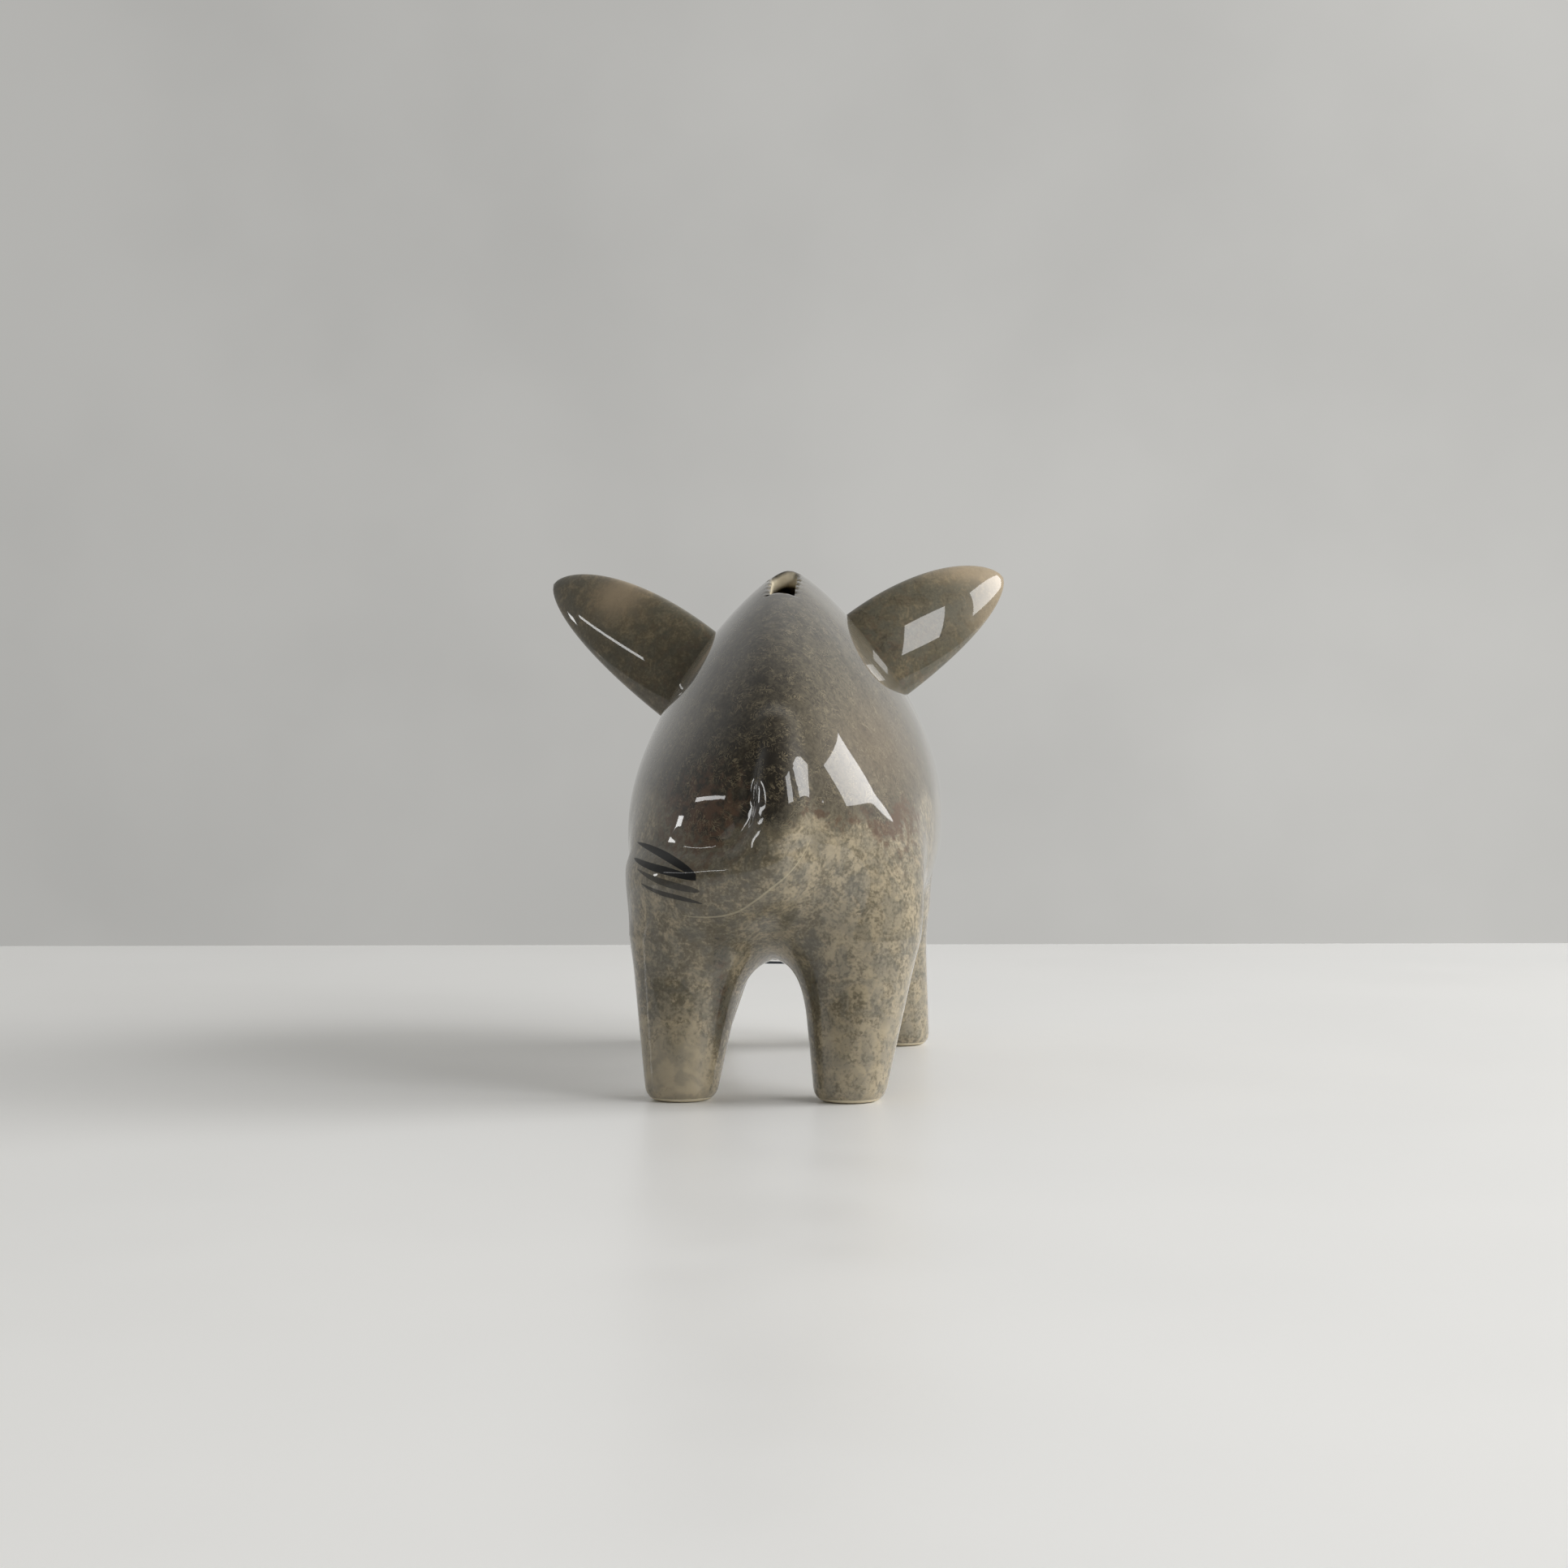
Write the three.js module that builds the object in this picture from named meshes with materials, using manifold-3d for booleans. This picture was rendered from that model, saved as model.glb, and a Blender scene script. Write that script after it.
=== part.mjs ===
// Ceramic piggy bank: a hollow slip-cast body on four legs, with luted-on ears,
// tail, snout disc and eyes, a coin slot in the back and a rubber stopper in the belly.
// Millimetres, +Z up, +Y towards the snout. Inside this file Y = 0 is at the hind feet;
// the last lines put the origin at the bottom centre of the whole object's box.
import * as THREE from 'three';
import { mergeVertices } from 'three/addons/utils/BufferGeometryUtils.js';
import Module from 'manifold-3d';

// ---- driving dimensions -----------------------------------------------------------
const wall = 4; // thickness of the cast clay
const gap = 0.3; // between touching pieces
const torso = {
  x: 0.9, // the trunk sits a little to the right of the legs
  halfWidth: 36.2,
  crown: 58.7, // ridge above the widest level
  belly: 33, // belly below the widest level
  widest: 60, // height of the widest level
  midY: 76, // the fullest section
  rear: 93,
  front: 76,
  endPower: 2.05, // roundness of the two ends seen from above
  bellyPower: 3.6, // the underside stays low for longer than the ridge
  fillTop: 86, // the flanks take on the underside's roundness from this height
  fillLow: 50, // down to this one
  ridge: 0.51, // how much the flanks lean in towards the ridge
  peak: 0.1, // and how much more at its very top
  underside: 0.8, // below 1 flattens the belly
};
const head = { from: [0, 102, 70], to: [0, 165, 63], neckR: 33, muzzleR: 16, narrow: 0.92, hollowTo: 0.7 };
const leg = {
  height: 35, // where the round hip starts
  hip: 20, // height of the round hip above that
  footR: 7.9,
  taper: 0.16, // radius gained per millimetre of height
  edge: 1.6, // rounding under the foot
};
const legs = [ // foot centre, then how far the leg leans to +X and to +Y for each millimetre of height
  { x: -18.7, y: 0, lean: 0.043, rake: 0.2 },
  { x: 18.2, y: 0, lean: 0.055, rake: 0.2 },
  { x: -26, y: 120, lean: 0.19, rake: -0.1 },
  { x: 26, y: 120, lean: -0.19, rake: -0.1 },
];
const slot = { width: 5.6, length: 33, fromY: 33, x: 0.85, turn: 1.9 }; // cut by hand, a little askew
const stopper = { y: 62, seatZ: 28.7, seatR: 13.2, holeR: 10, flangeR: 12.5, flange: 2.5, depth: 8.5 };
const ear = { width: 25.5, thickness: 9, tipThickness: 3, hidden: 0.25 };
const ears = {
  left: { root: [-15, 112, 84.1], bend: [-42.4, 118, 107.5], tip: [-64.7, 137, 117.9] },
  right: { root: [8.7, 112, 89.8], bend: [33.7, 118, 110.6], tip: [52.3, 137, 119.4] },
};
const tailPath = [ // x, y, z and radius of a roll sunk into the rump, from the root to the tip
  [2.2, -8.2, 81.3, 2.9], [2.7, -11.8, 75.2, 3.6], [3, -13.3, 70.2, 4.7], [3.4, -14.1, 63.6, 5.5],
  [1.8, -13.6, 56.4, 6.6], [-2.6, -11.4, 51.1, 7.3], [-8.9, -7.4, 48.4, 8], [-15.3, -3.6, 47.9, 8.2],
  [-19.4, 2.2, 48.7, 8], [-21, 9.7, 49.4, 7.6], [-23, 17.3, 50.2, 7.4],
];
const snout = { radius: 16.4, thickness: 6, edge: 2, nostrilR: 2.3, nostrilDepth: 3, nostrilX: 6 };
const eye = { radius: 3.2, along: 0.52, angle: 42, lift: 2.4 }; // lift beyond the cone of the head

// ---- helpers ----------------------------------------------------------------------
const wasm = await Module();
wasm.setup();

/** A closed skin over rings of equal point count, with a pole at either end. */
function loft(rings) {
  const count = rings[0].length;
  const centre = (ring) => ring.reduce((sum, p) => sum.add(p), new THREE.Vector3()).divideScalar(count);
  const points = [...rings.flat(), centre(rings[0]), centre(rings.at(-1))];
  const index = [];
  for (let i = 0; i < rings.length - 1; i++) {
    for (let j = 0; j < count; j++) {
      const a = i * count + j;
      const b = i * count + (j + 1) % count;
      index.push(a, b, b + count, a, b + count, a + count);
    }
  }
  const start = rings.length * count;
  const last = start - count;
  for (let j = 0; j < count; j++) {
    index.push(start, (j + 1) % count, j);
    index.push(start + 1, last + j, last + (j + 1) % count);
  }
  const geometry = new THREE.BufferGeometry().setFromPoints(points);
  geometry.setIndex(index);
  return geometry;
}

/** Turns a closed geometry into a solid, with its faces pointing out. */
function solid(geometry) {
  const bare = geometry.clone();
  bare.deleteAttribute('normal');
  bare.deleteAttribute('uv');
  const merged = mergeVertices(bare, 1e-4);
  const position = merged.getAttribute('position');
  const triangles = [];
  for (let i = 0; i < merged.index.count; i += 3) {
    const [a, b, c] = [0, 1, 2].map((k) => merged.index.getX(i + k));
    if (a !== b && b !== c && c !== a) triangles.push(a, b, c);
  }
  if (signedVolume(position, triangles) < 0) triangles.reverse();
  return new wasm.Manifold(new wasm.Mesh({
    numProp: 3,
    vertProperties: new Float32Array(position.array),
    triVerts: new Uint32Array(triangles),
  }));
}

function signedVolume(position, triangles) {
  const [a, b, c] = [new THREE.Vector3(), new THREE.Vector3(), new THREE.Vector3()];
  let volume = 0;
  for (let i = 0; i < triangles.length; i += 3) {
    a.fromBufferAttribute(position, triangles[i]);
    b.fromBufferAttribute(position, triangles[i + 1]);
    c.fromBufferAttribute(position, triangles[i + 2]);
    volume += a.dot(b.cross(c)) / 6;
  }
  return volume;
}

function geometryOf(manifold) {
  const mesh = manifold.getMesh();
  const geometry = new THREE.BufferGeometry();
  geometry.setAttribute('position', new THREE.BufferAttribute(new Float32Array(mesh.vertProperties), 3));
  geometry.setIndex(new THREE.BufferAttribute(new Uint32Array(mesh.triVerts), 1));
  geometry.computeVertexNormals();
  return geometry;
}

const lerp = THREE.MathUtils.lerp;
const spaced = (count, from, to) => Array.from({ length: count + 1 }, (_, i) => lerp(from, to, i / count));
const circle = (sides) => spaced(sides, 0, 2 * Math.PI).slice(0, sides);

/** A ring across a path, with its half sizes along two directions. */
function ringAt(centre, side, up, halfSide, halfUp, sides) {
  return circle(sides).map((angle) => centre.clone()
    .addScaledVector(side, halfSide * Math.cos(angle))
    .addScaledVector(up, halfUp * Math.sin(angle)));
}

/** A solid of round section swept along a curve that lies on a round body. */
function sweep(curve, bodyCentre, radiusAt, steps, sides) {
  return loft(spaced(steps, 0, 1).map((t) => {
    const point = curve.getPoint(t);
    const along = curve.getTangent(t);
    const side = point.clone().sub(bodyCentre).cross(along).normalize();
    const up = along.clone().cross(side);
    return ringAt(point, side, up, radiusAt(t), radiusAt(t), sides);
  }));
}

// ---- body -------------------------------------------------------------------------
/** The torso's skin, moved out by `grow` (negative for the cavity). */
function torsoSkin(grow, stations = 22, sides = 36) {
  const rear = torso.rear + grow;
  const front = torso.front + grow;
  const rings = spaced(stations, -Math.PI / 2, Math.PI / 2).slice(1, -1).map((angle) => {
    const reach = angle < 0 ? rear : front;
    const u = Math.abs(Math.sin(angle));
    const full = Math.sqrt(1 - u ** torso.endPower);
    const low = Math.sqrt(1 - u ** torso.bellyPower);
    return circle(sides).map((around) => {
      const level = Math.sin(around);
      const upper = Math.max(level, 0) * full;
      const flank = (torso.halfWidth + grow) * (1 - torso.ridge * upper ** 2 - torso.peak * upper ** 14);
      const rise = level > 0
        ? (torso.crown + grow) * upper
        : -(torso.belly + grow) * low * (-level) ** torso.underside;
      const fill = THREE.MathUtils.smoothstep(-torso.widest - rise, -torso.fillTop, -torso.fillLow);
      return new THREE.Vector3(
        torso.x + flank * lerp(full, low, fill) * Math.cos(around),
        torso.midY + Math.sign(angle) * reach * u,
        torso.widest + rise);
    });
  });
  return loft(rings);
}

/** A ring of the head at t, from the neck (0) to the flat end of the muzzle (1). */
function headRing(t, grow, sides) {
  const from = new THREE.Vector3(...head.from);
  const to = new THREE.Vector3(...head.to);
  const side = new THREE.Vector3(1, 0, 0);
  const up = side.clone().cross(to.clone().sub(from).normalize());
  const r = head.muzzleR + (head.neckR - head.muzzleR) * (1 - t) ** 1.25 + grow;
  return ringAt(from.lerp(to, t), side, up, r * head.narrow, r, sides);
}

function headSkin(grow, reach = 1, sides = 32) {
  return loft(spaced(7, 0, reach).map((t) => headRing(t, grow, sides)));
}

/** A leg: rounded under the foot, widening upwards, with a round hip inside the torso. */
function legSkin({ x, y, lean, rake }, grow = 0, sides = 24) {
  const hipR = leg.footR + leg.taper * (leg.height - leg.edge);
  const levels = [
    ...spaced(3, 0, Math.PI / 2).map((a) => [
      leg.edge * (1 - Math.cos(a)), leg.footR - leg.edge * (1 - Math.sin(a))]),
    ...spaced(4, leg.edge, leg.height).slice(1).map((z) => [z, leg.footR + leg.taper * (z - leg.edge)]),
    ...spaced(5, 0, Math.PI / 2).slice(1, -1).map((a) => [
      leg.height + leg.hip * Math.sin(a), hipR * Math.cos(a)]),
  ];
  const [side, up] = [new THREE.Vector3(1, 0, 0), new THREE.Vector3(0, 1, 0)];
  return loft(levels.map(([z, r]) => ringAt(
    new THREE.Vector3(x + lean * z, y + rake * z, z), side, up, r + grow, r + grow, sides)));
}

function box(x0, x1, y0, y1, z0, z1) {
  const geometry = new THREE.BoxGeometry(x1 - x0, y1 - y0, z1 - z0);
  return geometry.translate((x0 + x1) / 2, (y0 + y1) / 2, (z0 + z1) / 2);
}

function cylinder(radius, z0, z1, x, y, sides = 48) {
  const geometry = new THREE.CylinderGeometry(radius, radius, z1 - z0, sides);
  return geometry.rotateX(Math.PI / 2).translate(x, y, (z0 + z1) / 2);
}

function outerBody(grow = 0) {
  let body = solid(torsoSkin(grow)).add(solid(headSkin(grow)));
  for (const place of legs) body = body.add(solid(legSkin(place, grow)));
  return body;
}

function coinSlot() {
  const top = torso.widest + torso.crown;
  const half = { width: slot.width / 2, length: slot.length / 2 };
  return box(-half.width, half.width, -half.length, half.length, top - 24, top + 5)
    .rotateZ(THREE.MathUtils.degToRad(slot.turn))
    .translate(slot.x, slot.fromY + half.length, 0);
}

function bodyShell() {
  const cavity = solid(torsoSkin(-wall, 18, 28)).add(solid(headSkin(-wall, head.hollowTo, 24)));
  return outerBody()
    .subtract(cavity)
    .subtract(solid(coinSlot()))
    .subtract(solid(cylinder(stopper.seatR, stopper.seatZ - 9, stopper.seatZ, 0, stopper.y)))
    .subtract(solid(cylinder(stopper.holeR, stopper.seatZ - 2, stopper.seatZ + 9, 0, stopper.y)));
}

// ---- pieces luted on --------------------------------------------------------------
/** A leaf-shaped ear: full in the middle, drawn to a blunt point, thin at the tip. */
function earLeaf({ root, bend, tip }) {
  const curve = new THREE.QuadraticBezierCurve3(
    new THREE.Vector3(...root), new THREE.Vector3(...bend), new THREE.Vector3(...tip));
  const forwards = new THREE.Vector3(0, 1, 0);
  const stations = [0, 0.14, ...spaced(10, ear.hidden, 1).map((s) => s ** 0.8)];
  return loft(stations.map((s) => {
    const t = Math.max(0, (s - ear.hidden) / (1 - ear.hidden));
    const along = curve.getTangentAt(s);
    const across = forwards.clone().cross(along).normalize();
    const depth = along.clone().cross(across);
    const halfWidth = (ear.width / 2) * Math.max(1 - t ** 1.9, 0.004) ** 0.62;
    const fullThick = lerp(ear.thickness, ear.tipThickness, t ** 1.5);
    const halfThick = fullThick / 2 * Math.max(1 - t ** 6, 0.03) ** 0.5;
    return ringAt(curve.getPointAt(s), across, depth, halfWidth, halfThick, 20);
  }));
}

function tailRoll() {
  const curve = new THREE.CatmullRomCurve3(tailPath.map(([x, y, z]) => new THREE.Vector3(x, y, z)));
  const roundEnd = (t) => Math.sqrt(Math.max(1 - Math.max(0, (t - 0.9) / 0.1) ** 2, 0.03));
  const radiusAt = (t) => {
    const place = t * (tailPath.length - 1);
    const before = Math.min(Math.floor(place), tailPath.length - 2);
    return lerp(tailPath[before][3], tailPath[before + 1][3], place - before) * roundEnd(t);
  };
  return sweep(curve, new THREE.Vector3(0, 40, torso.widest), radiusAt, 30, 20);
}

/** The snout disc: a round pad with a rounded rim and two blind nostrils, facing +Z. */
function snoutDisc() {
  const { radius, thickness, edge } = snout;
  const rim = spaced(5, 0, Math.PI / 2).map((a) => new THREE.Vector2(
    radius - edge + edge * Math.cos(a), thickness - edge + edge * Math.sin(a)));
  const profile = [
    new THREE.Vector2(0, 0), new THREE.Vector2(radius, 0), ...rim, new THREE.Vector2(0, thickness),
  ];
  let disc = solid(new THREE.LatheGeometry(profile, 36).rotateX(Math.PI / 2));
  for (const side of [-1, 1]) {
    disc = disc.subtract(solid(cylinder(
      snout.nostrilR, thickness - snout.nostrilDepth, thickness + 1, side * snout.nostrilX, 0, 20)));
  }
  return geometryOf(disc);
}

function bellyStopper() {
  const under = -stopper.flange - gap;
  const neck = stopper.holeR - 0.35;
  const profile = [
    [0, under + 1.2], [6.2, under + 1.2], [7.2, under], [stopper.flangeR - 0.8, under],
    [stopper.flangeR, under + 0.8], [stopper.flangeR, -gap - 0.5], [stopper.flangeR - 0.5, -gap],
    [neck, -gap], [neck - 0.5, 1], [neck - 0.5, wall], [neck, wall + 1], [neck - 0.2, wall + 2],
    [neck - 1.6, stopper.depth], [0, stopper.depth],
  ].map(([r, z]) => new THREE.Vector2(r, z));
  return new THREE.LatheGeometry(profile, 40).rotateX(Math.PI / 2)
    .translate(0, stopper.y, stopper.seatZ);
}

// ---- assembly ---------------------------------------------------------------------
function piece(name, geometry, color, roughness, metalness = 0) {
  const mesh = new THREE.Mesh(geometry, new THREE.MeshStandardMaterial({ color, roughness, metalness }));
  mesh.name = name;
  return mesh;
}

const clearOfBody = outerBody(gap);
const lutedOn = (geometry) => geometryOf(solid(geometry).subtract(clearOfBody));

const glaze = '#7b7464';
const darkGlaze = '#5d564a';
const bank = new THREE.Group();
bank.add(piece('body_shell', geometryOf(bodyShell()), glaze, 0.12));
bank.add(piece('left_ear', lutedOn(earLeaf(ears.left)), darkGlaze, 0.12));
bank.add(piece('right_ear', lutedOn(earLeaf(ears.right)), darkGlaze, 0.12));
bank.add(piece('tail', lutedOn(tailRoll()), darkGlaze, 0.12));

const snoutPiece = piece('snout_disc', snoutDisc(), glaze, 0.12);
const facing = new THREE.Vector3(...head.to).sub(new THREE.Vector3(...head.from)).normalize();
snoutPiece.position.set(...head.to).addScaledVector(facing, gap);
snoutPiece.rotation.x = Math.atan2(facing.z, facing.y) - Math.PI / 2;
bank.add(snoutPiece);

const eyeSeat = headRing(eye.along, eye.lift, 360)[eye.angle];
for (const [name, side] of [['left_eye', -1], ['right_eye', 1]]) {
  const bead = new THREE.SphereGeometry(eye.radius, 20, 14);
  bead.translate(torso.x + side * eyeSeat.x, eyeSeat.y, eyeSeat.z);
  bank.add(piece(name, lutedOn(bead), '#15120f', 0.08));
}
bank.add(piece('belly_stopper', bellyStopper(), '#2f3a44', 0.6));

const bounds = new THREE.Box3().setFromObject(bank);
const middle = bounds.getCenter(new THREE.Vector3());
bank.position.set(-middle.x, -middle.y, -bounds.min.z);

export default bank;
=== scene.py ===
"""Ceramic piggy bank: glazed body, ears, tail, snout, eyes and rubber stopper.

Shapes are written in the design frame, in millimetres: Y = 0 at the hind feet, X = 0 on the
animal's mid plane, Z = 0 on the table. `place` takes them to the row frame, in metres.
The ceramic pieces are smooth solids described by distance fields, meshed on a fine grid.
"""
import math

import bpy
import numpy as np
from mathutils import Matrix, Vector


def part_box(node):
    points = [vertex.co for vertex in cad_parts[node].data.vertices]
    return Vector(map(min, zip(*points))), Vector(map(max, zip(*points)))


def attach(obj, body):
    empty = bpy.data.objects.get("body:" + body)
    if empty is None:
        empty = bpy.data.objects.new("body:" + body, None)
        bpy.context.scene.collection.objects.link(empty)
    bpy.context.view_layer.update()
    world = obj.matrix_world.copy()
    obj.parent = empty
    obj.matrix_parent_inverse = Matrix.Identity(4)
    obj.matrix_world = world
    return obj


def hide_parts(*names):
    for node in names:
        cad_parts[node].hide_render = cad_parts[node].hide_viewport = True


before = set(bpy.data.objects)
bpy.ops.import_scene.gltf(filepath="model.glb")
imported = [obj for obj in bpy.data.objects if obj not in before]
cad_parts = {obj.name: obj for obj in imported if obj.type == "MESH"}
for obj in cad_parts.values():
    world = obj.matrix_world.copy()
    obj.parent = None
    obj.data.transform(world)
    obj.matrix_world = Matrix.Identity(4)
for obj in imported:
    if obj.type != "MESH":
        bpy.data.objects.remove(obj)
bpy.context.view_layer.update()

MM = 0.001

# ---- driving dimensions, as in the CAD model ------------------------------------------
WALL = 4.0
TORSO = dict(x=0.9, half_width=36.2, crown=58.7, belly=33.0, widest=60.0, mid_y=76.0, rear=93.0,
             front=76.0, end_power=2.05, belly_power=3.6, fill_top=86.0, fill_low=50.0,
             ridge=0.51, peak=0.1)
HEAD = dict(start=(0.0, 102.0, 70.0), end=(0.0, 165.0, 63.0), neck=33.0, muzzle=16.0,
            narrow=0.92)
LEG = dict(height=35.0, hip=20.0, foot=7.9, taper=0.16, edge=1.6)
LEGS = [  # foot centre, then the lean to +X and to +Y for each millimetre of height
    dict(x=-18.7, y=0.0, lean=0.043, rake=0.2),
    dict(x=18.2, y=0.0, lean=0.055, rake=0.2),
    dict(x=-26.0, y=120.0, lean=0.19, rake=-0.1),
    dict(x=26.0, y=120.0, lean=-0.19, rake=-0.1),
]
SLOT = dict(width=5.6, length=33.0, start=33.0, x=0.85, turn=1.9, floor=88.0)
STOPPER = dict(y=62.0, seat_z=28.7, seat_r=13.2, hole_r=10.0)
TAIL_PATH = [  # x, y, z and radius of a roll sunk into the rump, from the root to the tip
    (2.2, -8.2, 81.3, 2.9), (2.7, -11.8, 75.2, 3.6), (3.0, -13.3, 70.2, 4.7),
    (3.4, -14.1, 63.6, 5.5), (1.8, -13.6, 56.4, 6.6), (-2.6, -11.4, 51.1, 7.3),
    (-8.9, -7.4, 48.4, 8.0), (-15.3, -3.6, 47.9, 7.9), (-19.4, 2.2, 48.7, 7.4),
    (-20.8, 9.9, 49.4, 7.0),
]
FOLD_PATH = [  # the crease that the tail leaves on its inner side
    (-0.4, -14.2, 76.5, 1.6), (-1.3, -16.2, 71.5, 2.4), (-1.2, -17.6, 64.5, 2.8),
    (-2.6, -17.7, 59.6, 2.8), (-5.2, -16.8, 56.4, 2.0), (-7.8, -15.4, 55.0, 0.5),
]
CURL_CENTRE = (-13.0, 65.0)  # x and z of the middle of the tail's curl
CELL = dict(body=1.1, snout=0.7, stopper=0.55)  # grid sizes of the meshes
JOIN = dict(head=9.0, leg=12.5, tail_inside=2.5, tail_outside=4.0, tail_under=9.0,
            fold=2.8)  # smooth runs


def design_origin():
    """Where the design frame's origin lies in the row frame, from the stopper's box."""
    low, high = (np.array(corner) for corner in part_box("belly_stopper"))
    centre = (low + high) / 2
    return np.array([centre[0], centre[1] - STOPPER["y"] * MM, 0.0])


ORIGIN = design_origin()


def place(points):
    """Design millimetres to row metres."""
    return np.asarray(points, dtype=float) * MM + ORIGIN


# ---- distance fields --------------------------------------------------------------------
def smooth_min(a, b, width):
    mix = np.maximum(width - np.abs(a - b), 0.0) / width
    return np.minimum(a, b) - mix * mix * width / 4


def smooth_max(a, b, width):
    return -smooth_min(-a, -b, width)


def smooth_step(value, low, high):
    t = np.clip((value - low) / (high - low), 0.0, 1.0)
    return t * t * (3 - 2 * t)


def torso_field(x, y, z):
    """An egg whose flanks lean in to a ridge and whose underside is flatter and longer."""
    t = TORSO
    up = np.maximum(z - t["widest"], 0.0) / t["crown"]
    down = np.maximum(t["widest"] - z, 0.0) / t["belly"]
    x = x - t["x"]
    flank = t["half_width"] * (1 - t["ridge"] * up ** 2 - t["peak"] * np.minimum(up, 1.0) ** 14)
    reach = np.where(y < t["mid_y"], t["rear"], t["front"])
    u = np.abs(y - t["mid_y"]) / reach
    power = t["end_power"] + (t["belly_power"] - t["end_power"]) * smooth_step(
        -z, -t["fill_top"], -t["fill_low"])
    across, along, height = (x / flank) ** 2, u ** power, up * up + down ** 2.5
    slope_x = 2 * x / flank ** 2
    slope_y = power * along / np.maximum(u, 1e-3) / reach
    slope_z = (2 * up / t["crown"] + across * 4 * t["ridge"] * up / flank * t["half_width"]
               / t["crown"] - 2.5 * down ** 1.5 / t["belly"])
    steep = np.sqrt(slope_x ** 2 + slope_y ** 2 + slope_z ** 2)
    return (across + along + height - 1) / np.maximum(steep, 0.016)


def head_field(x, y, z):
    """A cone from the neck to the flat end of the muzzle."""
    start, end = np.array(HEAD["start"]), np.array(HEAD["end"])
    axis = end - start
    length = np.linalg.norm(axis)
    axis = axis / length
    along = (y - start[1]) * axis[1] + (z - start[2]) * axis[2]
    t = np.clip(along / length, 0.0, 1.0)
    radius = HEAD["muzzle"] + (HEAD["neck"] - HEAD["muzzle"]) * (1 - t) ** 1.25
    off = (z - start[2]) * axis[1] - (y - start[1]) * axis[2]
    behind = np.minimum(along, 0.0)
    cone = np.sqrt((x / HEAD["narrow"]) ** 2 + off ** 2 + behind ** 2) - radius
    return smooth_max(cone, along - length, 3.0)


def leg_field(x, y, z, leg):
    """A column that widens upwards into a round hip, flat and softly rounded underfoot."""
    radial = np.hypot(x - leg["x"] - leg["lean"] * z, y - leg["y"] - leg["rake"] * z)
    radius = LEG["foot"] + LEG["taper"] * (np.minimum(z, LEG["height"]) - LEG["edge"])
    above = np.maximum(z - LEG["height"], 0.0) * radius / LEG["hip"]
    column = np.hypot(radial, above) - radius
    return smooth_max(column, -z, 3.2)


def catmull_rom(path, count):
    """Evenly spread points, each with its radius, on a smooth curve through the path."""
    p = np.array(path, dtype=float)
    p = np.vstack([2 * p[0] - p[1], p, 2 * p[-1] - p[-2]])
    fine = []
    for i in range(1, len(p) - 2):
        for s in np.linspace(0, 1, 24, endpoint=False):
            fine.append(0.5 * (2 * p[i] + (p[i + 1] - p[i - 1]) * s
                               + (2 * p[i - 1] - 5 * p[i] + 4 * p[i + 1] - p[i + 2]) * s ** 2
                               + (3 * p[i] - p[i - 1] - 3 * p[i + 1] + p[i + 2]) * s ** 3))
    fine = np.array(fine + [p[-2]])
    lengths = np.linalg.norm(np.diff(fine[:, :3], axis=0), axis=1)
    steps = np.concatenate([[0], np.cumsum(lengths)])
    even = np.linspace(0, steps[-1], count)
    return np.stack([np.interp(even, steps, fine[:, k]) for k in range(4)], axis=1)


TAIL = catmull_rom(TAIL_PATH, 40)
FOLD = catmull_rom(FOLD_PATH, 24)


def roll_field(x, y, z, path):
    """Distance to a round roll along a path, and how far outside the curl the point is."""
    best = np.full(np.shape(x), 40.0)
    outside = np.zeros(np.shape(x))
    from_middle = np.hypot(x - CURL_CENTRE[0], z - CURL_CENTRE[1])
    for a, b in zip(path[:-1], path[1:]):
        d = (b - a)[:3]
        t = ((x - a[0]) * d[0] + (y - a[1]) * d[1] + (z - a[2]) * d[2]) / d.dot(d)
        t = np.clip(t, 0.0, 1.0)
        px, py, pz = (a[k] + t * d[k] for k in range(3))
        gap = np.sqrt((x - px) ** 2 + (y - py) ** 2 + (z - pz) ** 2) - a[3] - (b[3] - a[3]) * t
        closer = gap < best
        best = np.where(closer, gap, best)
        middle = np.hypot(px - CURL_CENTRE[0], pz - CURL_CENTRE[1])
        outside = np.where(closer, from_middle - middle, outside)
    return best, outside


def near_tail(x, y, z, field):
    """Lays the tail on a field: a fold and a tight run inside its curl, a softer run outside
    it and the softest under it."""
    close = (y < 36) & (z > 32) & (z < 98) & (x < 26)  # where the tail can reach
    joined = field.copy()
    here = field[close]
    spot = x[close], y[close], z[close]
    roll, outside = roll_field(*spot, TAIL)
    width = JOIN["tail_inside"] + (JOIN["tail_outside"] - JOIN["tail_inside"]) * smooth_step(
        outside, -2.0, 4.0)
    width += (JOIN["tail_under"] - width) * smooth_step(-spot[2], -57.0, -50.0)
    here = smooth_max(here, -roll_field(*spot, FOLD)[0], JOIN["fold"])
    joined[close] = smooth_min(here, roll, width)
    return joined


def trunk_field(x, y, z):
    return smooth_min(torso_field(x, y, z), head_field(x, y, z), JOIN["head"])


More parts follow.
